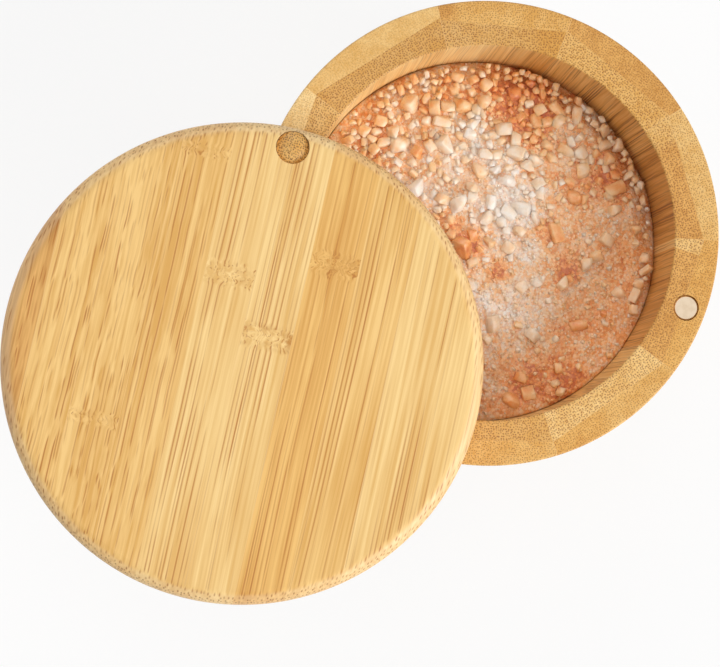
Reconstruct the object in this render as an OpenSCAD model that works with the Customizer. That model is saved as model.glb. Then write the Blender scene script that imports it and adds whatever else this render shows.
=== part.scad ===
// Round salt box of laminated bamboo, standing open.
// A coopered ring of two-ply staves carries a floor and a lid of edge-glued strips.
// The lid turns flat about an upright peg and is held shut by a pair of disc magnets.
// Millimetres. The origin is the middle of the underside, +Z is up,
// the peg is at the back (+Y) and the magnets meet at the front (-Y).

/* [Box] */
// Outside diameter of the box and of its lid
outer_d = 88.9; // [75:0.1:110]
// Height of the box, from the table to its rim
box_h = 57.5; // [45:0.5:90]
// Thickness of the wall, both plies together
wall_t = 8.6; // [7.6:0.1:11]
// Rounding of the two edges of the rim
rim_round = 0.4; // [0.2:0.1:0.8]
// Rounding of the outer edge that stands on the table
foot_round = 1.5; // [0.5:0.1:2]

/* [Staves] */
// Number of staves in the ring
stave_count = 10; // [9:1:14]
// Angle of the first stave joint, just before the front magnet
stave_joint_angle = -106.1; // [-107.5:0.1:-104]
// Degrees by which joints 1 to 4, at the front and the right, lie off an even spacing
joint_shifts = [0, -0.9, -2.4, -2.7]; // [-4:0.1:4]
// The same for joints 5 to 8, at the back and the left
back_joint_shifts = [-4.5, -1.3, 0, 0]; // [-5:0.1:4]
// The same for joints 9 and 10
last_joint_shifts = [0, -0.3]; // [-4:0.1:4]
// Thickness of the outer ply at the middle of a stave
outer_ply_t = 4.8; // [3.4:0.1:5]

/* [Floor] */
// Thickness of the floor
floor_t = 8; // [5:0.5:12]
// Depth of the rebate that holds the edge of the floor
floor_rebate = 3; // [2:0.1:3.4]
// Number of strips in the floor
floor_strips = 9; // [7:2:11]
// Width of the first floor strip at its widest; the others share the rest
floor_first_w = 5; // [4:0.1:7]

/* [Lid] */
// Thickness of the lid
lid_t = 12; // [9:0.5:16]
// Rounding of the lid's upper edge
lid_round = 3; // [1:0.1:4]
// Rounding of the lid's lower edge
lid_under_round = 0.8; // [0.3:0.1:1.5]
// Number of strips in the lid
lid_strips = 10; // [8:1:12]
// Width of the first lid strip at its widest; the others share the rest
lid_first_w = 6.2; // [5:0.1:8]
// Angle that the lid is swung from closed
lid_swing = -82; // [-180:1:180]

/* [Pivot peg] */
// Distance from the outside of the wall to the axis of the peg and of the magnets
pivot_inset = 3.9; // [3.7:0.1:4.2]
// Diameter of the peg's head
head_d = 6; // [5:0.1:6.4]
// Height of the head, from its shoulder to the top of its dome
head_h = 4.2; // [2:0.1:5]
// Height of the dome on the head
head_dome = 0.9; // [0.3:0.1:1.4]
// Diameter of the shank
shank_d = 4; // [3:0.1:4.4]
// Length of the shank that is glued into the wall
shank_depth = 20; // [10:0.5:30]

/* [Magnets] */
// Diameter of each disc magnet
magnet_d = 4.76; // [3:0.01:5]
// Thickness of each disc magnet
magnet_t = 3; // [1.5:0.1:4]
// Chamfer on the edges of a magnet
magnet_chamfer = 0.25; // [0.1:0.05:0.4]
// Depth of a magnet's face below the wood round it
magnet_sink = 0.2; // [0.1:0.05:0.5]

/* [Salt] */
// Depth of the salt below the rim, at the wall
salt_drop = 19.5; // [8:0.5:30]
// Height of the heap over the salt at the wall
salt_mound = 1.4; // [0.5:0.1:4]
// Number of large crystals that stand out of the salt
crystal_count = 40; // [12:1:60]
// Length of the largest crystal, at the back where the salt is coarse
crystal_l = 6; // [3:0.1:7]
// Length of the smallest of them, at the front
crystal_least_l = 3.4; // [2:0.1:5]
// Height of the middle of a crystal over the salt round it
crystal_rise = 0.5; // [0:0.1:1.5]

/* [Fits] */
// Gap between the rim and the underside of the lid
lid_gap = 0.2; // [0.1:0.05:0.5]
// Radial clearance of the lid on the peg's shank
shank_clearance = 0.08; // [0.05:0.01:0.1]
// Radial gap round the head and round each magnet
socket_gap = 0.1; // [0.05:0.01:0.15]
// Clearance under the shoulder of the head
shoulder_gap = 0.15; // [0.1:0.05:0.3]
// Glue line round the shank and round the floor
glue_line = 0.05; // [0.03:0.01:0.1]
// Space at the closed end of a socket
socket_end = 0.3; // [0.2:0.1:1]
// Space between the salt and the wall
salt_gap = 0.15; // [0.1:0.05:0.5]

/* [Hidden] */
$fn = 96;
// Overshoot of cutting tools
eps = 1;
outer_r = outer_d / 2;
inner_r = outer_r - wall_t;
pitch_r = outer_r - pivot_inset;
stave_angle = 360 / stave_count;
JOINT_SHIFTS = concat(joint_shifts, back_joint_shifts, last_joint_shifts);
// Distance from the axis to the flat glue plane between the plies
ply_plane = outer_r - outer_ply_t;
rebate_r = inner_r + floor_rebate;
floor_r = rebate_r - glue_line;
lid_z = box_h + lid_gap;
lid_top = lid_z + lid_t;
head_seat = lid_top - head_h;
salt_wall_z = box_h - salt_drop;
salt_r = inner_r - salt_gap;

// Angle of the joint where stave n starts; one past the last is the first a turn on
function joint(n) = n > stave_count
    ? joint(n - stave_count) + 360
    : stave_joint_angle + (n - 1) * stave_angle + (n > len(JOINT_SHIFTS) ? 0 : JOINT_SHIFTS[n - 1]);

// Two-digit number for a node's name
function two_digits(n) = n < 10 ? str("0", n) : str(n);
function outer_ply_name(n) = str("stave_", two_digits(n), "_outer_ply");
function inner_ply_name(n) = str("stave_", two_digits(n), "_inner_ply");
function floor_strip_name(n) = str("floor_strip_", two_digits(n));
function lid_strip_name(n) = str("lid_strip_", two_digits(n));

// Tones of the bamboo round the ring and over the boards, repeated where they run out
PALE = "navajowhite";
GOLD = "burlywood";
AMBER = "sandybrown";
BROWN = "peru";
OUTER_PLIES = [GOLD, PALE, BROWN, GOLD, PALE, AMBER, GOLD, PALE, GOLD, AMBER];
INNER_PLIES = [BROWN, AMBER, PALE, AMBER, GOLD, PALE, AMBER, GOLD, BROWN, PALE];
LID_BOARD = [AMBER, GOLD, GOLD, AMBER, PALE, GOLD, PALE, AMBER, PALE, PALE];
FLOOR_BOARD = [GOLD, PALE, AMBER, GOLD];
function tone(tones, n) = tones[n % len(tones)];

// A disc whose upper and lower outer edges are rounded
module rounded_disc(r, h, top, bottom) {
    rotate_extrude() {
        translate([0, bottom]) square([r, h - top - bottom]);
        intersection() {
            translate([r - top, h - top]) circle(top);
            translate([r - top, h - top]) square(top);
        }
        intersection() {
            translate([r - bottom, bottom]) circle(bottom);
            translate([r - bottom, 0]) square(bottom);
        }
        translate([0, h - top]) square([r - top, top]);
        square([r - bottom, bottom]);
    }
}

// The turned ring, with both rim edges rounded and the rebate for the floor
module turned_ring() {
    rotate_extrude() {
        difference() {
            translate([inner_r, 0]) square([wall_t, box_h]);
            // Rebate under the pocket
            translate([inner_r - eps, -eps]) square([rebate_r - inner_r + eps, floor_t + eps]);
            // Square corners at the rim and the foot, put back as rounds below
            translate([outer_r - rim_round, box_h - rim_round]) square(rim_round + eps);
            translate([inner_r - eps, box_h - rim_round]) square(rim_round + eps);
            translate([outer_r - foot_round, -eps]) square([foot_round + eps, foot_round + eps]);
        }
        intersection() {
            translate([outer_r - rim_round, box_h - rim_round]) circle(rim_round);
            translate([outer_r - rim_round, box_h - rim_round]) square(rim_round);
        }
        intersection() {
            translate([inner_r + rim_round, box_h - rim_round]) circle(rim_round);
            translate([inner_r, box_h - rim_round]) square(rim_round);
        }
        intersection() {
            translate([outer_r - foot_round, foot_round]) circle(foot_round);
            translate([outer_r - foot_round, 0]) square(foot_round);
        }
    }
}

// Wedge of the ring that one stave fills, from the axis out
module stave_wedge(n) {
    from = joint(n);
    to = joint(n + 1);
    far = outer_r / cos((to - from) / 2) + eps;
    translate([0, 0, -eps])
        linear_extrude(box_h + 2 * eps)
            polygon([
                [0, 0],
                far * [cos(from), sin(from)],
                far * [cos(to), sin(to)]
            ]);
}

// Everything inside the flat glue plane of stave n
module inside_ply_plane(n) {
    rotate([0, 0, (joint(n) + joint(n + 1)) / 2])
        translate([0, -outer_r, -2 * eps])
            cube([ply_plane, 2 * outer_r, box_h + 4 * eps]);
}

// Round socket in the rim, at an angle on the pitch circle
module rim_socket(angle, r, depth) {
    rotate([0, 0, angle])
        translate([pitch_r, 0, box_h - depth])
            cylinder(r = r, h = depth + eps);
}

module peg_socket() {
    rim_socket(90, shank_d / 2 + glue_line, shank_depth + socket_end);
}

module box_magnet_socket() {
    rim_socket(-90, magnet_d / 2 + socket_gap, magnet_sink + magnet_t + socket_end);
}

module stave_blank(n) {
    intersection() {
        turned_ring();
        stave_wedge(n);
    }
}

module stave_outer_ply(n) {
    color(tone(OUTER_PLIES, n - 1)) difference() {
        stave_blank(n);
        inside_ply_plane(n);
        peg_socket();
        box_magnet_socket();
    }
}

module stave_inner_ply(n) {
    color(tone(INNER_PLIES, n - 1)) difference() {
        intersection() {
            stave_blank(n);
            inside_ply_plane(n);
        }
        peg_socket();
        box_magnet_socket();
    }
}

// Strip n of a round board that is count strips wide, running front to back.
// The first strip is first_w wide and the others share the rest alike.
module board_strip(n, count, first_w, r, h) {
    w = (2 * r - first_w) / (count - 1);
    from = n == 1 ? -r - eps : -r + first_w + (n - 2) * w;
    to = n == count ? r + eps : -r + first_w + (n - 1) * w;
    translate([from, -r - eps, -eps])
        cube([to - from, 2 * (r + eps), h + 2 * eps]);
}

module floor_strip(n) {
    color(tone(FLOOR_BOARD, n - 1)) intersection() {
        cylinder(r = floor_r, h = floor_t);
        board_strip(n, floor_strips, floor_first_w, floor_r, floor_t);
    }
}

// Carries what is drawn on the closed lid to where the lid stands
module swung() {
    translate([0, pitch_r, 0])
        rotate([0, 0, lid_swing])
            translate([0, -pitch_r, 0])
                children();
}

// Bore and counterbore in the lid for the peg
module peg_bores() {
    translate([0, pitch_r, lid_z - eps])
        cylinder(r = shank_d / 2 + shank_clearance, h = lid_t + 2 * eps);
    translate([0, pitch_r, head_seat - shoulder_gap])
        cylinder(r = head_d / 2 + socket_gap, h = head_h + shoulder_gap + eps);
}

module lid_magnet_socket() {
    translate([0, -pitch_r, lid_z - eps])
        cylinder(r = magnet_d / 2 + socket_gap, h = eps + magnet_sink + magnet_t + socket_end);
}

module lid_strip(n) {
    color(tone(LID_BOARD, n - 1)) swung() difference() {
        translate([0, 0, lid_z]) intersection() {
            rounded_disc(outer_r, lid_t, lid_round, lid_under_round);
            board_strip(n, lid_strips, lid_first_w, outer_r, lid_t);
        }
        peg_bores();
        lid_magnet_socket();
    }
}

// Headed peg, turned in one piece, with a domed end
module pivot_peg() {
    head_r = head_d / 2;
    dome_r = (head_r * head_r + head_dome * head_dome) / (2 * head_dome);
    color("chocolate") translate([0, pitch_r, 0]) {
        translate([0, 0, box_h - shank_depth])
            cylinder(d = shank_d, h = shank_depth + head_seat - box_h + eps);
        intersection() {
            translate([0, 0, head_seat]) cylinder(r = head_r, h = head_h);
            translate([0, 0, lid_top - dome_r]) sphere(r = dome_r);
        }
    }
}

// Disc magnet with chamfered edges, standing on z = 0
module magnet() {
    r = magnet_d / 2;
    rotate_extrude()
        polygon([
            [0, 0],
            [r - magnet_chamfer, 0],
            [r, magnet_chamfer],
            [r, magnet_t - magnet_chamfer],
            [r - magnet_chamfer, magnet_t],
            [0, magnet_t]
        ]);
}

module box_magnet() {
    color("silver") translate([0, -pitch_r, box_h - magnet_sink - magnet_t]) magnet();
}

module lid_magnet() {
    color("silver") swung() translate([0, -pitch_r, lid_z + magnet_sink]) magnet();
}

// Broken block of rock salt, l long, that lies another way for each n
module crystal(l, n) {
    most_tilt = 25;
    rotate([most_tilt * sin(47 * n), most_tilt * cos(29 * n), 83 * n]) intersection() {
        cube([l, 0.8 * l, 0.62 * l], center = true);
        rotate([34, 41, 0]) cube([l, 0.94 * l, 0.8 * l], center = true);
    }
}

// Crystals sunk in a sunflower pattern over the bed, the largest at the back
module crystals(top_z, cap_r) {
    golden_angle = 180 * (3 - sqrt(5));
    far = salt_r - 0.7 * crystal_l;
    for (n = [1:crystal_count]) {
        out = far * sqrt((n - 0.5) / crystal_count);
        at = out * [cos(golden_angle * n), sin(golden_angle * n)];
        toward_back = (1 + at[1] / far) / 2;
        l = crystal_least_l + (crystal_l - crystal_least_l) * toward_back;
        surface_z = top_z - cap_r + sqrt(cap_r * cap_r - out * out);
        translate([at[0], at[1], surface_z + crystal_rise]) crystal(l, n);
    }
}

// Bed of salt, heaped a little in the middle
module salt() {
    top_z = salt_wall_z + salt_mound;
    cap_r = (salt_r * salt_r + salt_mound * salt_mound) / (2 * salt_mound);
    color("mistyrose") {
        rotate_extrude() intersection() {
            translate([0, floor_t]) square([salt_r, top_z - floor_t]);
            translate([0, top_z - cap_r]) circle(cap_r, $fn = 720);
        }
        crystals(top_z, cap_r);
    }
}

for (n = [1:stave_count]) {
    stave_outer_ply(n);
    stave_inner_ply(n);
}
for (n = [1:floor_strips]) {
    floor_strip(n);
}
for (n = [1:lid_strips]) {
    lid_strip(n);
}
pivot_peg();
box_magnet();
lid_magnet();
salt();
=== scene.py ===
"""Looks of a round bamboo salt box that stands open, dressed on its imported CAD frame."""
import logging
import math
import random
from dataclasses import dataclass, field
from enum import Enum

import bmesh
import bpy
from mathutils import Euler, Matrix, Vector, noise


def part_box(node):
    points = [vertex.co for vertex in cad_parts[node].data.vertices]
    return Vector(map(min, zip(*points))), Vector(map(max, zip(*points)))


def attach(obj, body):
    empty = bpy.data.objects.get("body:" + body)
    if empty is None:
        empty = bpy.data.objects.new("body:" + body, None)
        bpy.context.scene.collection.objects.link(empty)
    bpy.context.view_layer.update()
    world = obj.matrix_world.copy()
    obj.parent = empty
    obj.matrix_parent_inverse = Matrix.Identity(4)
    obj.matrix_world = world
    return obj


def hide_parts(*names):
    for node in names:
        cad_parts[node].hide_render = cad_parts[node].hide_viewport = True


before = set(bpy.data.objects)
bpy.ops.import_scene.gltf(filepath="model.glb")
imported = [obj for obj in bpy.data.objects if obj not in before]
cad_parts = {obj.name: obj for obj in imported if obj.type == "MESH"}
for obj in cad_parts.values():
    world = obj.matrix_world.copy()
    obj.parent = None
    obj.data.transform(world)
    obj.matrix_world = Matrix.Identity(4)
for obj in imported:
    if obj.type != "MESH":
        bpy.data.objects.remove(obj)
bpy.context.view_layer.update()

LOG = logging.getLogger("salt_box")
MM = 0.001
PER_MM = 1 / MM
BRIGHTEST = 255
MIDDLE = 0.5  # of a noise, which runs from 0 to 1
TINT_LAYER = "tint"


def linear(red: float, green: float, blue: float) -> tuple[float, float, float, float]:
    """Turns a colour as a screen shows it into the linear colour that a socket takes.

    Args:
        red: red, from 0 to 255.
        green: green, from 0 to 255.
        blue: blue, from 0 to 255.

    Returns:
        Linear red, green, blue and an alpha of 1.
    """

    def channel(value: float) -> float:
        """One channel of the sRGB curve."""
        share = value / BRIGHTEST
        return share / 12.92 if share <= 0.04045 else ((share + 0.055) / 1.055) ** 2.4

    return channel(red), channel(green), channel(blue), 1.0


class Shade:
    """One output of a shader node that takes part in Python expressions."""

    def __init__(self, tree: "Tree", node: bpy.types.Node, output: int | str) -> None:
        """Keeps a node's output.

        Args:
            tree: the tree that the node is in.
            node: the node.
            output: the output's name or number.
        """
        self.tree = tree
        self.node = node
        self.socket = node.outputs[output]

    def out(self, output: int | str) -> "Shade":
        """Another output of the same node."""
        return Shade(self.tree, self.node, output)

    def _math(self, operation: str, first: "Shade | float", second: "Shade | float") -> "Shade":
        """A Math node on two values or links."""
        return self.tree.node("ShaderNodeMath", {"operation": operation}, {0: first, 1: second})

    def __add__(self, other: "Shade | float") -> "Shade":
        """Sum."""
        return self._math("ADD", self, other)

    __radd__ = __add__

    def __sub__(self, other: "Shade | float") -> "Shade":
        """Difference."""
        return self._math("SUBTRACT", self, other)

    def __rsub__(self, other: float) -> "Shade":
        """Difference from a number."""
        return self._math("SUBTRACT", other, self)

    def __mul__(self, other: "Shade | float") -> "Shade":
        """Product."""
        return self._math("MULTIPLY", self, other)

    __rmul__ = __mul__

    def __abs__(self) -> "Shade":
        """Distance from zero."""
        return self._math("ABSOLUTE", self, 0.0)

    def step(self, start: float, end: float) -> "Shade":
        """Rises smoothly from 0 at start to 1 at end, which may be the lower of the two."""
        inputs = {"Value": self, "From Min": start, "From Max": end}
        return self.tree.node("ShaderNodeMapRange", {"interpolation_type": "SMOOTHSTEP"}, inputs)

    def split(self) -> tuple["Shade", "Shade", "Shade"]:
        """The three parts of a vector or colour."""
        parts = self.tree.node("ShaderNodeSeparateXYZ", {}, {0: self})
        return parts, parts.out(1), parts.out(2)


class Tree:
    """A node tree that is written as expressions."""

    def __init__(self, owner: bpy.types.Material | bpy.types.World) -> None:
        """Empties the owner's node tree.

        Args:
            owner: the material or world that the tree belongs to.
        """
        owner.use_nodes = True
        self.graph = owner.node_tree
        self.graph.nodes.clear()

    def node(self, kind: str, settings: dict | None = None, inputs: dict | None = None,
             output: int | str = 0) -> Shade:
        """Adds a node.

        Args:
            kind: the node's type.
            settings: its properties, or the stops of its colour ramp.
            inputs: values or links for its sockets, by name or number.
            output: the output that is wanted.

        Returns:
            That output.
        """
        made = self.graph.nodes.new(kind)
        for name, value in (settings or {}).items():
            if name == "stops":
                self._set_stops(made.color_ramp, value)
            else:
                setattr(made, name, value)
        for name, value in (inputs or {}).items():
            if isinstance(value, Shade):
                self.graph.links.new(value.socket, made.inputs[name])
            else:
                made.inputs[name].default_value = value
        return Shade(self, made, output)

    @staticmethod
    def _set_stops(ramp: bpy.types.ColorRamp, stops: list[tuple[float, tuple]]) -> None:
        """Gives a ramp its stops.

        Args:
            ramp: the ramp.
            stops: for each stop its place, from 0 to 1, and its colour.
        """
        while len(ramp.elements) < len(stops):
            ramp.elements.new(1.0)
        for element, (place, colour) in zip(ramp.elements, stops):
            element.position = place
            element.color = colour

    def vector(self, x: Shade | float, y: Shade | float, z: Shade | float) -> Shade:
        """A vector from three parts."""
        return self.node("ShaderNodeCombineXYZ", {}, {0: x, 1: y, 2: z})

    def noise(self, at: Shade, scale: float = 1.0, detail: float = 1.0) -> Shade:
        """Smooth noise; its second output holds three unlike noises."""
        return self.node("ShaderNodeTexNoise", {}, {"Vector": at, "Scale": scale, "Detail": detail})

    def mix(self, share: Shade | float, first: Shade | tuple, second: Shade | tuple) -> Shade:
        """Colour that goes from first to second as share goes from 0 to 1."""
        return self.node("ShaderNodeMix", {"data_type": "RGBA"}, {0: share, 6: first, 7: second}, 2)

    def finish(self, surface: Shade, kind: str = "ShaderNodeOutputMaterial") -> None:
        """Adds the output node and links the surface to it."""
        made = self.graph.nodes.new(kind)
        self.graph.links.new(surface.socket, made.inputs["Surface"])


def new_material(name: str) -> tuple[bpy.types.Material, Tree]:
    """A new material and its empty tree."""
    material = bpy.data.materials.new(name)
    return material, Tree(material)


class Grain(Enum):
    """Direction in which the fibres of a board run once it is turned square."""

    UPRIGHT = "z"
    FRONT_TO_BACK = "y"


class Tone(Enum):
    """Shades of bamboo strip, each as its lightest and its darkest fibre."""

    CREAM = (linear(252, 221, 158), linear(232, 188, 116))
    PALE = (linear(250, 214, 145), linear(228, 180, 104))
    GOLD = (linear(246, 204, 130), linear(221, 168, 88))
    AMBER = (linear(242, 194, 114), linear(214, 156, 76))
    BROWN = (linear(234, 182, 106), linear(198, 140, 68))


@dataclass(frozen=True)
class Knuckle:
    """Place where a leaf grew and the fibres swirl, in millimetres of the board."""

    along: float
    reach: float = 3.0
    swirl: float = 3.0
    stain: float = 0.5


@dataclass(frozen=True)
class Seam:
    """Glue line across the grain: the points where normal times place equals offset."""

    normal: tuple[float, float]
    offset: float
    strength: float = 0.5


@dataclass(frozen=True)
class Placing:
    """Turn and shift, in radians and millimetres, that square a piece up with its board."""

    turn: float
    shift: tuple[float, float]
    grain: Grain


@dataclass(frozen=True)
class BambooFinish:
    """How one strip or ply of bamboo looks, satin sanded and oiled.

    A pitch says how fast a pattern changes across the fibres and along them, per millimetre.
    """

    name: str
    placing: Placing
    tone: Tone
    other_tone: Tone | None = None
    tone_split: float = 0.0
    split_blur: float = 0.05
    bundle_spacing: float = 0.44
    bundle_core: float = 0.06
    bundle_rim: float = 0.42
    side_contrast: float = 0.9
    end_contrast: float = 0.9
    band_contrast: float = 1.5
    thread_contrast: float = 2.2
    thread_scale: float = 3.2
    waver: float = 0.2
    knuckles: tuple[Knuckle, ...] = ()
    seams: tuple[Seam, ...] = ()
    seed: float = 0.0
    end_share: float = 0.3
    # A pale cream mixed onto surfaces tilted away from flat, such as rounded edges: a painted sheen.
    edge_sheen_share: float = 0.0
    side_bundle: tuple = linear(124, 66, 22)
    end_bundle: tuple = linear(142, 78, 22)

    cloud_contrast: float = 1.4
    drift: float = 1.6
    faintest_bundle: float = 0.5
    sparsest_bundles: float = 0.45
    seam_width: float = 0.09
    drift_pitch: tuple[float, float] = (0.05, 0.016)
    waver_pitch: tuple[float, float] = (0.5, 0.11)
    swirl_pitch: tuple[float, float] = (0.34, 0.42)
    band_pitch: tuple[float, float] = (0.42, 0.006)
    cloud_pitch: tuple[float, float] = (0.13, 0.03)
    blotch_pitch: tuple[float, float] = (0.3, 0.5)
    thread_along: float = 0.03
    crowded: tuple[float, float] = (0.36, 0.56)
    blotched: tuple[float, float] = (0.42, 0.66)
    cut_across: tuple[float, float] = (0.2, 0.85)
    rounded_off: tuple[float, float] = (0.99, 0.88)
    waver_shape: tuple[float, float] = (0.6, 2.0)
    swirl_shape: tuple[float, float] = (2.0, 2.5)
    bundle_scatter: float = 0.75
    thread_height: float = 0.6
    bundle_sink: float = 0.5
    relief: float = 0.5
    relief_depth: float = 0.00005
    satin: float = 0.38
    satin_spread: float = 0.2
    end_colour: tuple = linear(198, 136, 40)
    seam_colour: tuple = linear(246, 208, 146)
    edge_sheen_colour: tuple = linear(250, 226, 194)
    stain_colour: tuple = linear(200, 142, 66)

    def _grain_axes(self, tree: Tree) -> tuple[Shade, Shade, Shade]:
        """Squares the board up.

        Args:
            tree: the material's tree.

        Returns:
            Two distances across the fibres and one along them, in millimetres.
        """
        place = tree.node("ShaderNodeTexCoord", {}, {}, "Object")
        inputs = {
            "Vector": place,
            "Location": (*self.placing.shift, 0.0),
            "Rotation": (0.0, 0.0, self.placing.turn),
            "Scale": (PER_MM, PER_MM, PER_MM),
        }
        x, y, z = tree.node("ShaderNodeMapping", {}, inputs).split()
        return (x, y, z) if self.placing.grain is Grain.UPRIGHT else (x, z, y)

    def _streaks(self, tree: Tree, place: tuple[Shade, Shade, Shade], pitch: tuple[float, float],
                 detail: float = 1.0, seeded: int = 0) -> Shade:
        """Noise that follows the fibres.

        Args:
            tree: the material's tree.
            place: two distances across the fibres and one along them.
            pitch: how fast it changes across the fibres and along them.
            detail: how much finer noise lies on it.
            seeded: which of the three distances the seed shifts.

        Returns:
            The noise; its second output holds three unlike noises.
        """
        across, along = pitch
        parts = [distance * scale for distance, scale in zip(place, (across, across, along))]
        parts[seeded] = parts[seeded] + self.seed
        return tree.noise(tree.vector(*parts), 1.0, detail)

    def _wandering(self, tree: Tree, place: tuple[Shade, Shade, Shade]
                   ) -> tuple[Shade, Shade, Shade | float]:
        """Lets the fibres drift, waver and swirl round their knuckles.

        Args:
            tree: the material's tree.
            place: two distances across the fibres and one along them.

        Returns:
            Where the fibre at a point starts, as two distances, and how near a knuckle is.
        """
        across, through, along = place
        waver_x, waver_y = (self.waver * part for part in self.waver_shape)
        slow_x, slow_y, _ = self._streaks(tree, place, self.drift_pitch).out(1).split()
        quick_x, quick_y, _ = self._streaks(tree, place, self.waver_pitch).out(1).split()
        first = across + (slow_x - MIDDLE) * self.drift + (quick_x - MIDDLE) * waver_x
        second = through + (slow_y - MIDDLE) * self.drift + (quick_y - MIDDLE) * waver_y
        near: Shade | float = 0.0
        if self.knuckles:
            swirl = self._streaks(tree, place, self.swirl_pitch, 2.0, seeded=2)
            swirl_x, swirl_y, _ = swirl.out(1).split()
            for knuckle in self.knuckles:
                close = abs(along - knuckle.along).step(knuckle.reach, 0.0)
                first = first + close * (swirl_x - MIDDLE) * (knuckle.swirl * self.swirl_shape[0])
                second = second + close * (swirl_y - MIDDLE) * (knuckle.swirl * self.swirl_shape[1])
                near = close * knuckle.stain + near
        return first, second, near

    def _end_grain(self, tree: Tree) -> Shade:
        """Tells end grain from side grain.

        Args:
            tree: the material's tree.

        Returns:
            1 where the surface cuts across the fibres and 0 where it runs along them.
        """
        if self.placing.grain is Grain.UPRIGHT:
            fibre = (0.0, 0.0, 1.0)
        else:
            fibre = (math.sin(self.placing.turn), math.cos(self.placing.turn), 0.0)
        facing = tree.node("ShaderNodeTexCoord", {}, {}, "Normal")
        inputs = {0: facing, 1: fibre}
        lined_up = tree.node("ShaderNodeVectorMath", {"operation": "DOT_PRODUCT"}, inputs, "Value")
        return abs(lined_up).step(*self.cut_across)

    def _bundles(self, tree: Tree, first: Shade, second: Shade, bands: Shade, end: Shade) -> Shade:
        """Dark fibre bundles, which show as dots in end grain and as thin lines in side grain.

        Args:
            tree: the material's tree.
            first: where the fibre starts, across the board.
            second: where the fibre starts, through it.
            bands: the board's darker and lighter bands.
            end: 1 on end grain.

        Returns:
            How strongly a bundle shows at a point.
        """
        cells = tree.node(
            "ShaderNodeTexVoronoi",
            {"voronoi_dimensions": "2D", "feature": "F1"},
            {
                "Vector": tree.vector(first + self.seed, second, 0.0),
                "Scale": 1 / self.bundle_spacing,
                "Randomness": self.bundle_scatter,
            },
            "Distance",
        )
        chance, _, _ = cells.out("Color").split()
        crowd = bands.step(*self.crowded)
        faint, sparse = self.faintest_bundle, self.sparsest_bundles
        strength = cells.step(self.bundle_rim, self.bundle_core) * (faint + chance * (1 - faint))
        return strength * (sparse + crowd * (1 - sparse) + end * (1.0 - crowd) * (1 - sparse))

    def _toned(self, tree: Tree, place: tuple[Shade, Shade, Shade], shade: Shade) -> Shade:
        """Colour of the plain wood.

        Args:
            tree: the material's tree.
            place: two distances across the fibres and one along them.
            shade: 0 for the lightest fibre and 1 for the darkest.

        Returns:
            The colour of one tone, or of two that meet where the tone splits.
        """
        light, dark = self.tone.value
        wood = tree.mix(shade, light, dark)
        if self.other_tone is None:
            return wood
        across, through, _ = place
        other_light, other_dark = self.other_tone.value
        side = through if self.placing.grain is Grain.UPRIGHT else across
        beyond = side.step(self.tone_split - self.split_blur, self.tone_split + self.split_blur)
        return tree.mix(beyond, wood, tree.mix(shade, other_light, other_dark))

    def build(self) -> bpy.types.Material:
        """Makes the material.

        Returns:
            The material, its pattern in the object's own coordinates.
        """
        material, tree = new_material(self.name)
        place = across, through, along = self._grain_axes(tree)
        end = self._end_grain(tree)
        first, second, near = self._wandering(tree, place)
        fibre = first, second, along
        bands = self._streaks(tree, fibre, self.band_pitch, 2.0)
        threads = self._streaks(tree, fibre, (self.thread_scale, self.thread_along), 2.0, seeded=1)
        clouds = self._streaks(tree, fibre, self.cloud_pitch, 3.0, seeded=1)
        bundles = self._bundles(tree, first, second, bands, end)
        shade = (bands - MIDDLE) * self.band_contrast + (threads - MIDDLE) * self.thread_contrast + MIDDLE
        wood = self._toned(tree, place, shade + (clouds - MIDDLE) * self.cloud_contrast)
        if self.knuckles:
            blotch = self._streaks(tree, place, self.blotch_pitch, 3.0)
            wood = tree.mix(near * blotch.step(*self.blotched), wood, self.stain_colour)
        wood = tree.mix(end * self.end_share, wood, self.end_colour)
        # Rounded edges, tilted away from flat, are mixed toward pale cream: a painted sheen, the reflection
        # those edges give.
        if self.edge_sheen_share:
            _, _, level = tree.node("ShaderNodeTexCoord", {}, {}, "Normal").split()
            wood = tree.mix(abs(level).step(*self.rounded_off) * self.edge_sheen_share, wood, self.edge_sheen_colour)
        contrast = end * (self.end_contrast - self.side_contrast) + self.side_contrast
        wood = tree.mix(bundles * contrast, wood, tree.mix(end, self.side_bundle, self.end_bundle))
        for seam in self.seams:
            gap = abs(across * seam.normal[0] + through * seam.normal[1] - seam.offset)
            wood = tree.mix(gap.step(self.seam_width, 0.0) * seam.strength, wood, self.seam_colour)
        height = threads * self.thread_height - bundles * self.bundle_sink
        bump = {"Strength": self.relief, "Distance": self.relief_depth, "Height": height}
        relief = tree.node("ShaderNodeBump", {}, bump, "Normal")
        inputs = {"Base Color": wood, "Roughness": self.satin + threads * self.satin_spread, "Normal": relief}
        tree.finish(tree.node("ShaderNodeBsdfPrincipled", {}, inputs))
        return material


@dataclass(frozen=True)
class NickelFinish:
    """Bright nickel plate on a pressed magnet, with faint handling marks."""

    name: str = "bright_nickel"
    plate: tuple = linear(230, 209, 182)
    worn: tuple = linear(216, 194, 166)
    mark_scale: float = 900.0
    marked: tuple[float, float] = (0.35, 0.7)
    polish: float = 0.2
    polish_spread: float = 0.25

    def build(self) -> bpy.types.Material:
        """Makes the material.

        Returns:
            The material.
        """
        material, tree = new_material(self.name)
        place = tree.node("ShaderNodeTexCoord", {}, {}, "Object")
        marks = tree.noise(place, self.mark_scale, 4.0)
        inputs = {
            "Base Color": tree.mix(marks.step(*self.marked), self.plate, self.worn),
            "Roughness": self.polish + marks * self.polish_spread,
            "Metallic": 1.0,
        }
        tree.finish(tree.node("ShaderNodeBsdfPrincipled", {}, inputs))
        return material


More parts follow.
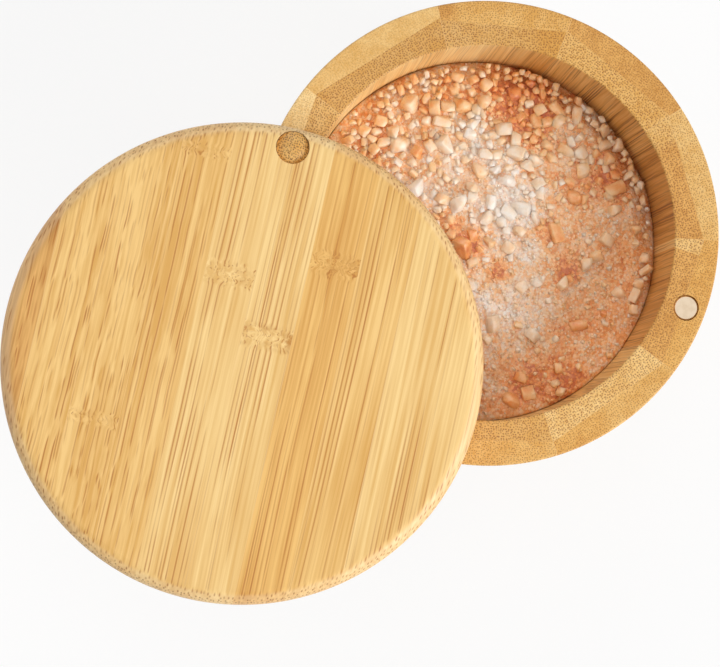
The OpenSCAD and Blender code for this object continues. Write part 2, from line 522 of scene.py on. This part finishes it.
@dataclass(frozen=True)
class SaltFinish:
    """Pink rock salt that carries its own tint, as the fine bed or as loose crystals.

    The depth says how far light goes into it, in metres.
    """

    name: str
    loose: bool
    depth: float
    white: tuple = linear(255, 242, 232)
    blush: tuple = linear(255, 225, 197)
    peach: tuple = linear(254, 204, 152)
    orange: tuple = linear(244, 170, 106)
    rust: tuple = linear(212, 128, 86)
    # A darker brown mixed in where the bed's grains meet: painted shade in the crevices between grains.
    crevice_shade: tuple = linear(188, 118, 74)
    tint_stops: tuple[float, ...] = (0.0, 0.3, 0.55, 0.8, 1.0)
    crevice_shade_share: float = 0.38
    cloud_scale: float = 500.0
    rough_scale: float = 2600.0
    speck_scale: float = 2100.0
    crystal_mottle: float = 0.9
    bed_mottle: float = 0.5
    speck_mottle: float = 0.45
    speck_gap: tuple[float, float] = (0.3, 0.65)
    crystal_relief: float = 0.3
    bed_relief: float = 0.55
    relief_depth: float = 0.0001
    polish: float = 0.15
    polish_spread: float = 0.3
    clearness: float = 0.7
    glow: tuple[float, float, float] = (0.9, 0.95, 1.0)

    def _tinted(self, tree: Tree, amount: Shade) -> Shade:
        """Colours the salt by its tint.

        Args:
            tree: the material's tree.
            amount: the tint.

        Returns:
            The colour, from the whitest salt at 0 to the reddest at 1.
        """
        colours = self.white, self.blush, self.peach, self.orange, self.rust
        stops = list(zip(self.tint_stops, colours))
        return tree.node("ShaderNodeValToRGB", {"stops": stops}, {"Fac": amount}, "Color")

    def build(self) -> bpy.types.Material:
        """Makes the material.

        Returns:
            The material, which reads the tint that its mesh carries.
        """
        material, tree = new_material(self.name)
        place = tree.node("ShaderNodeTexCoord", {}, {}, "Object")
        tint = tree.node("ShaderNodeAttribute", {"attribute_name": TINT_LAYER}, {}, "Fac")
        cloud = tree.noise(place, self.cloud_scale, 3.0)
        rough = tree.noise(place, self.rough_scale, 3.0)
        if self.loose:
            colour = self._tinted(tree, tint + (cloud - MIDDLE) * self.crystal_mottle)
            height = rough
        else:
            inputs = {"Vector": place, "Scale": self.speck_scale}
            speck = tree.node("ShaderNodeTexVoronoi", {}, inputs, "Distance")
            hue, value, _ = speck.out("Color").split()
            mottled = tint + (cloud - MIDDLE) * self.bed_mottle + (hue - MIDDLE) * self.speck_mottle
            # Darker where the bed's grains meet: painted shade in the crevices between them.
            painted_crevice_shade = speck.step(*self.speck_gap) * value * self.crevice_shade_share
            colour = tree.mix(painted_crevice_shade, self._tinted(tree, mottled), self.crevice_shade)
            height = rough - speck
        relief = tree.node("ShaderNodeBump", {}, {
            "Strength": self.crystal_relief if self.loose else self.bed_relief,
            "Distance": self.relief_depth,
            "Height": height,
        }, "Normal")
        inputs = {
            "Base Color": colour,
            "Roughness": self.polish + rough * self.polish_spread,
            "Normal": relief,
            "Subsurface Weight": self.clearness,
            "Subsurface Radius": self.glow,
            "Subsurface Scale": self.depth,
        }
        tree.finish(tree.node("ShaderNodeBsdfPrincipled", {}, inputs))
        return material


def dress(node: str, material: bpy.types.Material) -> None:
    """Gives a CAD node its material in every slot.

    Args:
        node: the node's name.
        material: its new finish.
    """
    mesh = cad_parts[node].data
    if not mesh.materials:
        mesh.materials.append(material)
    for number in range(len(mesh.materials)):
        mesh.materials[number] = material
    LOG.info("%s dressed with %s", node, material.name)


@dataclass
class StaveWall:
    """Coopered ring of staves, each an inner and an outer ply, with its joints at these degrees."""

    joints: tuple[float, ...] = (-106.1, -71.0, -36.5, -0.8, 33.4, 72.6, 109.9, 145.9, 181.9, 217.6)
    ply_plane: float = 39.65
    ply_seam: float = 0.15
    seed_step: float = 7.3
    inner_seed: float = 41.0
    inner_core: float = 0.16
    inner_rim: float = 0.46

    @staticmethod
    def _outer_ply(number: int) -> dict:
        """Sets the outer ply of a stave apart.

        Args:
            number: the stave's number.

        Returns:
            The fields of its finish that differ from the usual ones.
        """
        return {
            1: dict(tone=Tone.AMBER),
            2: dict(tone=Tone.PALE),
            3: dict(tone=Tone.BROWN),
            4: dict(tone=Tone.GOLD, other_tone=Tone.BROWN, tone_split=9.5, split_blur=1.5),
            5: dict(tone=Tone.PALE, end_contrast=0.35),
            6: dict(tone=Tone.CREAM, end_contrast=0.5, end_share=0.1),
            7: dict(tone=Tone.GOLD),
            8: dict(tone=Tone.PALE),
            9: dict(tone=Tone.GOLD),
            10: dict(tone=Tone.AMBER, other_tone=Tone.GOLD, tone_split=-3.0, split_blur=1.0),
        }[number]

    @staticmethod
    def _inner_ply(number: int) -> dict:
        """Sets the inner ply of a stave apart.

        Args:
            number: the stave's number.

        Returns:
            The fields of its finish that differ from the usual ones.
        """
        return {
            1: dict(tone=Tone.BROWN, other_tone=Tone.PALE, tone_split=9.3),
            2: dict(tone=Tone.BROWN, other_tone=Tone.PALE, tone_split=7.0, split_blur=1.5),
            3: dict(tone=Tone.GOLD),
            # Stave 4's inner ply goes from amber to cream over a wide blur: painted shade, darker towards its
            # joint at -0.8 degrees, where the wall lies in shade.
            4: dict(tone=Tone.AMBER, other_tone=Tone.CREAM, tone_split=-5.0, split_blur=4.0, end_share=0.6,
                    side_contrast=0.5),
            5: dict(tone=Tone.CREAM, end_share=0.7, side_contrast=0.4),
            6: dict(tone=Tone.PALE, end_share=0.4, side_contrast=0.5),
            7: dict(tone=Tone.AMBER),
            8: dict(tone=Tone.CREAM),
            9: dict(tone=Tone.PALE, end_share=0.55, side_contrast=0.6),
            10: dict(tone=Tone.PALE, end_share=0.15),
        }[number]

    def _seams(self, half: float) -> tuple[Seam, ...]:
        """Places the glue lines of a stave.

        Args:
            half: half the stave's width, in radians.

        Returns:
            The line between its plies and those at its two ends.
        """
        return (
            Seam((1.0, 0.0), self.ply_plane, self.ply_seam),
            Seam((-math.sin(half), math.cos(half)), 0.0),
            Seam((math.sin(half), math.cos(half)), 0.0),
        )

    def build(self) -> None:
        """Dresses every ply."""
        ends = self.joints[1:] + (self.joints[0] + 360,)
        for number, (start, end) in enumerate(zip(self.joints, ends), 1):
            placing = Placing(-math.radians(start + end) / 2, (0.0, 0.0), Grain.UPRIGHT)
            seams = self._seams(math.radians(end - start) / 2)
            seed = number * self.seed_step
            outer = BambooFinish(
                f"stave_{number:02d}_outer_ply", placing, seams=seams, seed=seed, **self._outer_ply(number),
            )
            inner = BambooFinish(
                f"stave_{number:02d}_inner_ply", placing, seams=seams, seed=seed + self.inner_seed,
                bundle_core=self.inner_core, bundle_rim=self.inner_rim, **self._inner_ply(number),
            )
            for finish in (outer, inner):
                dress(finish.name, finish.build())


@dataclass
class FloorBoard:
    """Edge-glued floor of the box."""

    strips: int = 9
    tones: tuple[Tone, ...] = (Tone.GOLD, Tone.PALE, Tone.AMBER, Tone.GOLD)
    seed_step: float = 5.9
    first_seed: float = 90.0

    def build(self) -> None:
        """Dresses every floor strip."""
        placing = Placing(0.0, (0.0, 0.0), Grain.FRONT_TO_BACK)
        for number in range(1, self.strips + 1):
            node = f"floor_strip_{number:02d}"
            low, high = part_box(node)
            seams = (Seam((1.0, 0.0), low.x * PER_MM), Seam((1.0, 0.0), high.x * PER_MM))
            tone = self.tones[(number - 1) % len(self.tones)]
            seed = number * self.seed_step + self.first_seed
            dress(node, BambooFinish(node, placing, tone, seams=seams, seed=seed).build())


@dataclass
class SwivelLid:
    """Flat round lid of edge-glued strips that turns on the peg."""

    strips: int = 10
    swing: float = math.radians(-82.0)
    radius: float = 44.45
    first_width: float = 6.2
    past_edge: float = 1.0
    bundle_spacing: float = 0.66
    bundle_core: float = 0.08
    bundle_rim: float = 0.34
    bundle: tuple = linear(176, 104, 32)
    thread_scale: float = 1.7
    thread_contrast: float = 2.4
    band_contrast: float = 1.2
    # The lid's rounded edges get a painted sheen of pale cream.
    edge_sheen_share: float = 0.22
    seed_step: float = 11.7
    first_seed: float = 200.0

    @staticmethod
    def _looks(number: int) -> dict:
        """Sets one strip of the lid apart.

        Args:
            number: the strip's number.

        Returns:
            The fields of its finish that differ from the usual ones.
        """
        return {
            1: dict(tone=Tone.BROWN, waver=0.8),
            2: dict(tone=Tone.GOLD, waver=0.9),
            3: dict(tone=Tone.GOLD, waver=1.0, knuckles=(Knuckle(-16.0, 1.8, 2.0, 0.3),)),
            4: dict(tone=Tone.GOLD, waver=0.5, knuckles=(Knuckle(36.4, 1.8, 2.0, 0.3),)),
            5: dict(tone=Tone.PALE, waver=0.15, knuckles=(Knuckle(15.1, 3.0, 2.6, 0.4),)),
            6: dict(tone=Tone.PALE, waver=0.12, knuckles=(Knuckle(5.3, 3.0, 2.5, 1.0),)),
            7: dict(tone=Tone.AMBER, waver=0.15, knuckles=(Knuckle(21.0, 3.0, 3.5, 0.6),)),
            8: dict(tone=Tone.GOLD, waver=0.1),
            9: dict(tone=Tone.PALE, waver=0.05),
            10: dict(tone=Tone.PALE, waver=0.05),
        }[number]

    def _joints(self) -> list[float]:
        """Finds the edges of the strips.

        Returns:
            Their places from side to side of the lid, the first just past its edge.
        """
        width = (2 * self.radius - self.first_width) / (self.strips - 1)
        first = -self.radius + self.first_width
        return [-self.radius - self.past_edge] + [first + number * width for number in range(self.strips)]

    def build(self) -> None:
        """Dresses every strip of the lid."""
        peg_low, peg_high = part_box("pivot_peg")
        peg = (peg_low + peg_high) / 2 * PER_MM
        back = Matrix.Rotation(-self.swing, 2) @ Vector((peg.x, peg.y))
        placing = Placing(-self.swing, (peg.x - back.x, peg.y - back.y), Grain.FRONT_TO_BACK)
        joints = self._joints()
        for number in range(1, self.strips + 1):
            node = f"lid_strip_{number:02d}"
            seams = (Seam((1.0, 0.0), joints[number - 1]), Seam((1.0, 0.0), joints[number]))
            finish = BambooFinish(
                node, placing, seams=seams, seed=number * self.seed_step + self.first_seed,
                bundle_spacing=self.bundle_spacing, bundle_core=self.bundle_core,
                bundle_rim=self.bundle_rim, side_bundle=self.bundle, thread_scale=self.thread_scale,
                thread_contrast=self.thread_contrast, band_contrast=self.band_contrast,
                end_share=0.0, edge_sheen_share=self.edge_sheen_share, **self._looks(number),
            )
            dress(node, finish.build())


@dataclass
class Closure:
    """Peg that the lid turns on and the two magnets that hold it shut."""

    peg_dots: tuple = linear(110, 60, 20)

    def build(self) -> None:
        """Dresses the peg and the magnets."""
        placing = Placing(0.0, (0.0, 0.0), Grain.UPRIGHT)
        peg = BambooFinish(
            "peg_bamboo", placing, Tone.GOLD, bundle_spacing=0.42, bundle_core=0.16, bundle_rim=0.46,
            end_contrast=1.0, band_contrast=2.5, end_bundle=self.peg_dots, seed=17.0,
        )
        dress("pivot_peg", peg.build())
        nickel = NickelFinish().build()
        dress("box_magnet", nickel)
        dress("lid_magnet", nickel)


@dataclass(frozen=True)
class Patch:
    """Round patch of salt with its own tint, in millimetres."""

    x: float
    y: float
    reach: float
    tint: float

    def at(self, x: float, y: float) -> float:
        """What the patch adds at a point."""
        away = ((x - self.x) ** 2 + (y - self.y) ** 2) / self.reach ** 2
        return self.tint * math.exp(-away)


@dataclass(frozen=True)
class Ripple:
    """Smooth unevenness: how much, how many to the millimetre, and its layer of the noise."""

    amount: float
    pitch: float
    layer: float

    def at(self, x: float, y: float) -> float:
        """What the ripple adds at a point."""
        return self.amount * noise.noise(Vector((x * self.pitch, y * self.pitch, self.layer)))


@dataclass(frozen=True)
class Pebbling:
    """Rounded grains side by side: how high, how wide, and their layer of the noise."""

    height: float
    width: float
    layer: float

    def at(self, x: float, y: float) -> float:
        """What the grains add at a point."""
        near = noise.voronoi(Vector((x / self.width, y / self.width, self.layer)))[0][0]
        return self.height * (MIDDLE - near)


@dataclass(frozen=True)
class Sizes:
    """Half sizes of crystals, in millimetres: the least, how much more, and how rare the large are."""

    least: float
    more: float
    rarity: float

    def draw(self, chance: float) -> float:
        """The half size for a number from 0 to 1."""
        return self.least + self.more * chance ** self.rarity


Spot = tuple[float, float, float, float]


@dataclass
class SaltFill:
    """Rock salt in the box: a fine bed with crystals heaped at the back, in millimetres."""

    cell: float = 0.3
    heap_fall: float = 1.4
    under_top: float = 0.4
    dunes: Ripple = Ripple(0.8, 0.07, 3.0)
    lumps: Ripple = Ripple(0.5, 0.22, 9.0)
    coarse_pebbling: Pebbling = Pebbling(0.3, 1.0, 0.5)
    fine_pebbling: Pebbling = Pebbling(0.18, 0.55, 7.5)
    gap_side: float = math.radians(-20.0)
    gap_depth: float = 3.0
    gap_start: float = 0.87
    plain_tint: float = 0.45
    wide_tint: Ripple = Ripple(0.2, 0.1, 21.0)
    close_tint: Ripple = Ripple(0.24, 0.32, 5.0)
    # The redder patches at (29, 6), (3, -27), (24, -4), (30, 2), (13, 28), (22, 16), (23, -20) and (-22, -18)
    # lie where the walls shade the bed. They are partly the salt's own redder tint and partly painted shade,
    # which the crystals there take on too.
    patches: tuple[Patch, ...] = (
        Patch(-13.0, -9.0, 7.0, -0.3),
        Patch(-1.5, -10.0, 6.0, -0.2),
        Patch(8.0, -3.0, 7.0, -0.35),
        Patch(16.0, 7.0, 8.0, -0.3),
        Patch(29.0, 6.0, 5.0, 0.3),
        Patch(26.0, 13.0, 6.0, -0.1),
        Patch(11.0, 5.0, 3.0, 0.4),
        Patch(2.0, 5.5, 3.0, 0.3),
        Patch(-1.6, 1.2, 2.2, 0.7),
        Patch(-4.0, -7.0, 3.0, 0.5),
        Patch(6.0, -12.5, 2.5, 0.4),
        Patch(1.0, -18.8, 2.0, 0.6),
        Patch(19.2, -20.5, 4.0, 0.4),
        Patch(-7.5, -25.5, 4.5, 0.2),
        Patch(-19.3, -28.0, 3.0, 0.4),
        Patch(3.0, -27.0, 14.0, 0.16),
        Patch(24.0, -4.0, 7.0, 0.2),
        Patch(30.0, 2.0, 8.0, 0.55),
        Patch(13.0, 28.0, 7.0, 0.35),
        Patch(22.0, 16.0, 6.0, 0.25),
        Patch(23.0, -20.0, 7.0, 0.15),
        Patch(-22.0, -18.0, 9.0, 0.35),
    )
    block: float = 1.75
    coarse_breaks: int = 5
    coarse_wear: float = 0.5
    coarse_shapes: int = 18
    fine_breaks: int = 3
    fine_shapes: int = 12
    break_depths: tuple[float, float] = (0.7, 0.95)
    flatness: float = 0.75
    lengths: tuple[float, float] = (0.9, 1.4)
    widths: tuple[float, float] = (0.65, 0.95)
    landmark_count: int = 40
    landmark_length: float = 6.0
    landmark_least: float = 3.4
    landmark_inset: float = 0.7
    landmark_half: float = 0.4
    landmark_lift: float = 0.1
    coarse_count: int = 560
    coarse_sizes: Sizes = Sizes(0.65, 1.1, 1.6)
    coarse_tries: int = 60
    coarse_lift: float = 0.25
    closest: float = 0.66
    fine_count: int = 3200
    fine_sizes: Sizes = Sizes(0.18, 0.3, 3.0)
    fine_lift: float = 0.3
    off_wall: float = 1.3
    rocky_side: tuple[float, float] = (0.8, 0.6)
    rocky_start: float = 0.85
    rocky_strip: float = 0.15
    rocky_shares: tuple[float, float, float, float] = (0.03, 0.1, 1.1, 1.2)
    coarse_spread: float = 0.12
    fine_spread: float = 0.1
    crystal_tint: float = 0.75
    reddest_crystal: float = 0.9
    seed: int = 29
    body: str = "box"
    slot: str = "rock_salt"
    radius: float = field(init=False)
    bottom: float = field(init=False)
    top: float = field(init=False)
    dice: random.Random = field(init=False)

    def __post_init__(self) -> None:
        """Takes the bed's place from the CAD solid, and throws its own dice."""
        low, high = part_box("salt")
        self.radius = high.x * PER_MM
        self.bottom = low.z * PER_MM
        self.top = high.z * PER_MM
        self.dice = random.Random(self.seed)

    def _level(self, x: float, y: float) -> float:
        """Height of the bed without its grains.

        Args:
            x: place from left to right.
            y: place from front to back.

        Returns:
            The height there.
        """
        out = math.hypot(x, y) / self.radius
        heap = self.top - self.heap_fall * out * out
        return heap - self.under_top + self.dunes.at(x, y) + self.lumps.at(x, y)

    def _gap(self, x: float, y: float) -> float:
        """How far the fine salt has sunk away from the wall.

        Args:
            x: place from left to right.
            y: place from front to back.

        Returns:
            The depth there.
        """
        out = math.hypot(x, y) / self.radius
        facing = max(0.0, math.cos(math.atan2(y, x) - self.gap_side))
        return self.gap_depth * facing * max(0.0, out - self.gap_start) / (1.0 - self.gap_start)

    def _tint(self, x: float, y: float) -> float:
        """Tint of the salt, with painted shade in some patches near the wall.

        Args:
            x: place from left to right.
            y: place from front to back.

        Returns:
            The tint there, from white at 0 to rust at 1.
        """
        tint = self.plain_tint
        for source in (self.wide_tint, self.close_tint, *self.patches):
            tint += source.at(x, y)
        return min(1.0, max(0.0, tint))

    def _piece(self, name: str, mesh: bpy.types.Mesh, material: bpy.types.Material) -> bpy.types.Object:
        """Places a mesh and lets it ride on the box.

        Args:
            name: the piece's name.
            mesh: its mesh, drawn in millimetres.
            material: its finish.

        Returns:
            The piece.
        """
        mesh.transform(Matrix.Scale(MM, 4))
        mesh.materials.clear()
        mesh.materials.append(material)
        piece = bpy.data.objects.new(name, mesh)
        bpy.context.scene.collection.objects.link(piece)
        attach(piece, self.body)
        LOG.info("%s has %d faces", name, len(mesh.polygons))
        return piece

    def _bed(self) -> bpy.types.Mesh:
        """Shapes the bed.

        Returns:
            The mesh of one closed body that carries its tint.
        """
        count = int(2 * self.radius / self.cell)
        bed = bmesh.new()
        layer = bed.verts.layers.float.new(TINT_LAYER)
        bmesh.ops.create_grid(bed, x_segments=count, y_segments=count, size=self.radius)
        outside = [vert for vert in bed.verts if vert.co.xy.length > self.radius - self.cell / 2]
        bmesh.ops.delete(bed, geom=outside, context="VERTS")
        rim = [edge for edge in bed.edges if edge.is_boundary]
        for vert in {vert for edge in rim for vert in edge.verts}:
            vert.co.xy = vert.co.xy.normalized() * self.radius
        for vert in bed.verts:
            spot = vert.co.x, vert.co.y
            vert[layer] = self._tint(*spot)
            pebbles = self.coarse_pebbling.at(*spot) + self.fine_pebbling.at(*spot)
            vert.co.z = self._level(*spot) + pebbles - self._gap(*spot)
        skirt = bmesh.ops.extrude_edge_only(bed, edges=rim)["geom"]
        for vert in (item for item in skirt if isinstance(item, bmesh.types.BMVert)):
            vert.co.z = self.bottom
        foot = [edge for edge in bed.edges if edge.is_boundary]
        bmesh.ops.edgeloop_fill(bed, edges=foot)
        bmesh.ops.recalc_face_normals(bed, faces=bed.faces)
        return self._to_mesh(bed, "salt_bed")

    @staticmethod
    def _to_mesh(shape: bmesh.types.BMesh, name: str) -> bpy.types.Mesh:
        """Turns a bmesh into a mesh and frees it.

        Args:
            shape: the bmesh.
            name: the mesh's name.

        Returns:
            The mesh, shaded smooth.
        """
        for face in shape.faces:
            face.smooth = True
        mesh = bpy.data.meshes.new(name)
        shape.to_mesh(mesh)
        shape.free()
        return mesh

    def _chunk(self, breaks: int, wear: float = 0.0) -> bpy.types.Mesh:
        """A crystal about 2 across: a block with its corners broken off.

        Args:
            breaks: how many flat breaks it has.
            wear: how far its edges are worn back.

        Returns:
            The crystal's mesh.
        """
        chunk = bmesh.new()
        bmesh.ops.create_cube(chunk, size=self.block)
        for _ in range(breaks):
            normal = Vector([self.dice.gauss(0, 1) for _ in range(3)]).normalized()
            cut = bmesh.ops.bisect_plane(
                chunk,
                geom=chunk.verts[:] + chunk.edges[:] + chunk.faces[:],
                plane_co=normal * self.dice.uniform(*self.break_depths),
                plane_no=normal,
                clear_outer=True,
            )
            edges = [item for item in cut["geom_cut"] if isinstance(item, bmesh.types.BMEdge)]
            if edges:
                bmesh.ops.edgeloop_fill(chunk, edges=edges)
        bmesh.ops.remove_doubles(chunk, verts=chunk.verts, dist=0.1)
        if wear:
            bmesh.ops.bevel(
                chunk, geom=chunk.edges[:], offset=wear, segments=1, profile=0.5,
                affect="EDGES", material=-1, clamp_overlap=True,
            )
            bmesh.ops.remove_doubles(chunk, verts=chunk.verts, dist=0.05)
        bmesh.ops.recalc_face_normals(chunk, faces=chunk.faces)
        return self._to_mesh(chunk, "chunk")

    def _laid(self, x: float, y: float, z: float, half: float) -> Matrix:
        """Turns, stretches and lays down a crystal.

        Args:
            x: its place from left to right.
            y: its place from front to back.
            z: its height.
            half: half its size.

        Returns:
            The transform that does it.
        """
        turn = Euler([self.dice.uniform(0, math.tau) for _ in range(3)]).to_matrix().to_4x4()
        long, wide = self.dice.uniform(*self.lengths), self.dice.uniform(*self.widths)
        stretch = Matrix.Diagonal((long, wide, self.flatness, 1.0))
        lying = Matrix.Diagonal((1.0, 1.0, self.flatness, 1.0))
        return Matrix.Translation((x, y, z)) @ lying @ Matrix.Scale(half, 4) @ turn @ stretch

    def _gather(self, name: str, shapes: list[bpy.types.Mesh], spread: float,
                spots: list[Spot]) -> bpy.types.Mesh:
        """Joins crystals into one mesh that carries a tint for each.

        Args:
            name: the mesh's name.
            shapes: the crystals to choose from.
            spread: how far a crystal's tint may lie from that of the bed round it.
            spots: for each crystal its place and half its size.

        Returns:
            The mesh of all crystals.
        """
        heap = bmesh.new()
        heap.verts.layers.float.new(TINT_LAYER)
        for x, y, z, half in spots:
            crystal = self.dice.choice(shapes).copy()
            crystal.transform(self._laid(x, y, z, half))
            tint = self.crystal_tint * self._tint(x, y) + self.dice.gauss(0.0, spread)
            tint = min(self.reddest_crystal, max(0.0, tint))
            tints = crystal.attributes.new(TINT_LAYER, "FLOAT", "POINT")
            tints.data.foreach_set("value", [tint] * len(crystal.vertices))
            heap.from_mesh(crystal)
            bpy.data.meshes.remove(crystal)
        return self._to_mesh(heap, name)

    def _rockiness(self, x: float, y: float) -> float:
        """How likely a coarse crystal is: likelier at the back and along the wall.

        Args:
            x: place from left to right.
            y: place from front to back.

        Returns:
            The chance there, from 0 to 1.
        """
        side = (x * self.rocky_side[0] + y * self.rocky_side[1]) / self.radius
        out = math.hypot(x, y) / self.radius
        by_wall = max(0.0, out - self.rocky_start) / self.rocky_strip
        least, anywhere, at_back, at_wall = self.rocky_shares
        return min(1.0, max(least, anywhere + at_back * side + at_wall * by_wall))

    def _landmarks(self) -> list[Spot]:
        """Puts the largest crystals where the CAD solid has them.

        Returns:
            Their spots.
        """
        golden_angle = math.pi * (3 - math.sqrt(5))
        far = self.radius - self.landmark_inset * self.landmark_length
        spots = []
        for number in range(1, self.landmark_count + 1):
            out = far * math.sqrt((number - 0.5) / self.landmark_count)
            x, y = out * math.cos(golden_angle * number), out * math.sin(golden_angle * number)
            toward_back = (1 + y / far) / 2
            length = self.landmark_least + (self.landmark_length - self.landmark_least) * toward_back
            half = length * self.landmark_half
            spots.append((x, y, self._level(x, y) + half * self.landmark_lift, half))
        return spots

    def _strewn(self, half: float) -> tuple[float, float]:
        """Picks a place inside the wall.

        Args:
            half: half the crystal's size.

        Returns:
            The place, all of the bed equally likely.
        """
        angle = self.dice.uniform(0, math.tau)
        out = (self.radius - half * self.off_wall) * math.sqrt(self.dice.random())
        return out * math.cos(angle), out * math.sin(angle)

    def _coarse_spots(self) -> list[Spot]:
        """Strews the coarse crystals.

        Returns:
            Their spots and the largest ones', none deep inside another.
        """
        spots = self._landmarks()
        for _ in range(self.coarse_count * self.coarse_tries):
            if len(spots) == self.coarse_count:
                break
            half = self.coarse_sizes.draw(self.dice.random())
            x, y = self._strewn(half)
            if self.dice.random() > self._rockiness(x, y):
                continue
            if any(math.hypot(x - a, y - b) < (half + other) * self.closest for a, b, _, other in spots):
                continue
            spots.append((x, y, self._level(x, y) + half * self.coarse_lift, half))
        return spots

    def _fine_spots(self) -> list[Spot]:
        """Strews the fine grains all over the bed.

        Returns:
            Their spots.
        """
        spots = []
        for _ in range(self.fine_count):
            half = self.fine_sizes.draw(self.dice.random())
            x, y = self._strewn(half)
            spots.append((x, y, self._level(x, y) - self._gap(x, y) + half * self.fine_lift, half))
        return spots

    def build(self) -> None:
        """Makes the bed, the coarse crystals and the fine grains."""
        bed = self._piece("salt_bed", self._bed(), SaltFinish("salt_bed", loose=False, depth=0.0002).build())
        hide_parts("salt")
        chunks = [self._chunk(self.coarse_breaks, self.coarse_wear) for _ in range(self.coarse_shapes)]
        splinters = [self._chunk(self.fine_breaks) for _ in range(self.fine_shapes)]
        crystals = self._gather("salt_crystals", chunks, self.coarse_spread, self._coarse_spots())
        self._piece("salt_crystals", crystals, SaltFinish("salt_crystals", loose=True, depth=0.0008).build())
        grains = self._gather("salt_grains", splinters, self.fine_spread, self._fine_spots())
        self._piece("salt_grains", grains, SaltFinish("salt_grains", loose=True, depth=0.0001).build())
        for shape in chunks + splinters:
            bpy.data.meshes.remove(shape)


@dataclass(frozen=True)
class Lamp:
    """Square soft lamp that faces the box, its place in degrees and metres."""

    name: str
    azimuth: float
    elevation: float
    power: float
    mirrored: bool = True
    distance: float = 1.6
    size: float = 1.07

    def build(self) -> None:
        """Hangs the lamp."""
        turn = Euler((0.0, math.radians(90.0 - self.elevation), math.radians(self.azimuth)))
        light = bpy.data.lights.new(self.name, "AREA")
        light.shape = "SQUARE"
        light.size = self.size
        light.energy = self.power
        lamp = bpy.data.objects.new(self.name, light)
        lamp.rotation_euler = turn
        lamp.location = turn.to_matrix() @ Vector((0.0, 0.0, self.distance))
        lamp.visible_glossy = self.mirrored
        bpy.context.scene.collection.objects.link(lamp)


@dataclass
class Studio:
    """Camera, soft light and pale floor."""

    lens: float = 112.1
    sensor: float = 36.0
    eye: tuple[float, float, float] = (-0.05672, 0.03872, 0.47992)
    right: tuple[float, float, float] = (0.35134, -0.93328, 0.07455)
    back: tuple[float, float, float] = (-0.07040, 0.05306, 0.99611)
    lamps: tuple[Lamp, ...] = (
        Lamp("key", -105.0, 30.0, 23.8),
        Lamp("fill", 32.0, 36.0, 7.6),
        Lamp("side", 112.0, 40.0, 4.2),
        Lamp("top", 0.0, 90.0, 7.6, mirrored=False),
    )
    sky: float = 0.06
    floor_size: float = 4.0
    floor_colour: tuple = (0.86, 0.86, 0.86, 1.0)
    floor_glow: float = 0.85
    white: tuple = (1.0, 1.0, 1.0, 1.0)

    def _camera(self) -> None:
        """Sets the camera where the photograph was taken from."""
        back = Vector(self.back).normalized()
        up = back.cross(Vector(self.right)).normalized()
        right = up.cross(back)
        camera = bpy.data.objects.new("camera", bpy.data.cameras.new("camera"))
        camera.data.lens = self.lens
        camera.data.sensor_width = self.sensor
        camera.data.clip_start = 0.01
        camera.data.clip_end = 20.0
        turn = Matrix((right, up, back)).transposed().to_4x4()
        camera.matrix_world = Matrix.Translation(self.eye) @ turn
        bpy.context.scene.collection.objects.link(camera)
        bpy.context.scene.camera = camera

    @staticmethod
    def _seen(tree: Tree) -> Shade:
        """Tells the rays that show the background from those that light the object.

        Args:
            tree: the material's or the world's tree.

        Returns:
            1 for a ray that shows the background itself or its reflection.
        """
        path = tree.node("ShaderNodeLightPath", {}, {}, "Is Camera Ray")
        seen = path + path.out("Is Glossy Ray") + path.out("Is Transmission Ray")
        return seen.step(0.0, 1.0)

    def _world(self) -> None:
        """A dim even sky that shows as white."""
        world = bpy.data.worlds.new("studio")
        bpy.context.scene.world = world
        tree = Tree(world)
        seen = self._seen(tree)
        strength = seen * (1.0 - self.sky) + self.sky
        sky = tree.node("ShaderNodeBackground", {}, {"Color": self.white, "Strength": strength})
        tree.finish(sky, "ShaderNodeOutputWorld")

    def _floor(self) -> None:
        """A pale floor under the box that keeps its soft shadow."""
        shape = bmesh.new()
        bmesh.ops.create_grid(shape, x_segments=1, y_segments=1, size=self.floor_size / 2)
        mesh = bpy.data.meshes.new("floor")
        shape.to_mesh(mesh)
        shape.free()
        material, tree = new_material("floor")
        pale = tree.node("ShaderNodeBsdfDiffuse", {}, {"Color": self.floor_colour})
        glow = tree.node("ShaderNodeEmission", {}, {"Color": self.white, "Strength": 1.0})
        share = self._seen(tree) * self.floor_glow
        tree.finish(tree.node("ShaderNodeMixShader", {}, {0: share, 1: pale, 2: glow}))
        mesh.materials.append(material)
        floor = bpy.data.objects.new("floor", mesh)
        bpy.context.scene.collection.objects.link(floor)

    def build(self) -> None:
        """Sets up the camera, the lamps, the sky and the floor."""
        self._camera()
        for lamp in self.lamps:
            lamp.build()
        self._world()
        self._floor()
        view = bpy.context.scene.view_settings
        view.view_transform = "Standard"
        LOG.info("studio is set")


def main() -> None:
    """Dresses the box, fills it and lights it."""
    logging.basicConfig(level=logging.INFO, format="%(name)s: %(message)s")
    Studio().build()
    StaveWall().build()
    FloorBoard().build()
    SwivelLid().build()
    Closure().build()
    SaltFill().build()


if __name__ == "__main__":
    main()
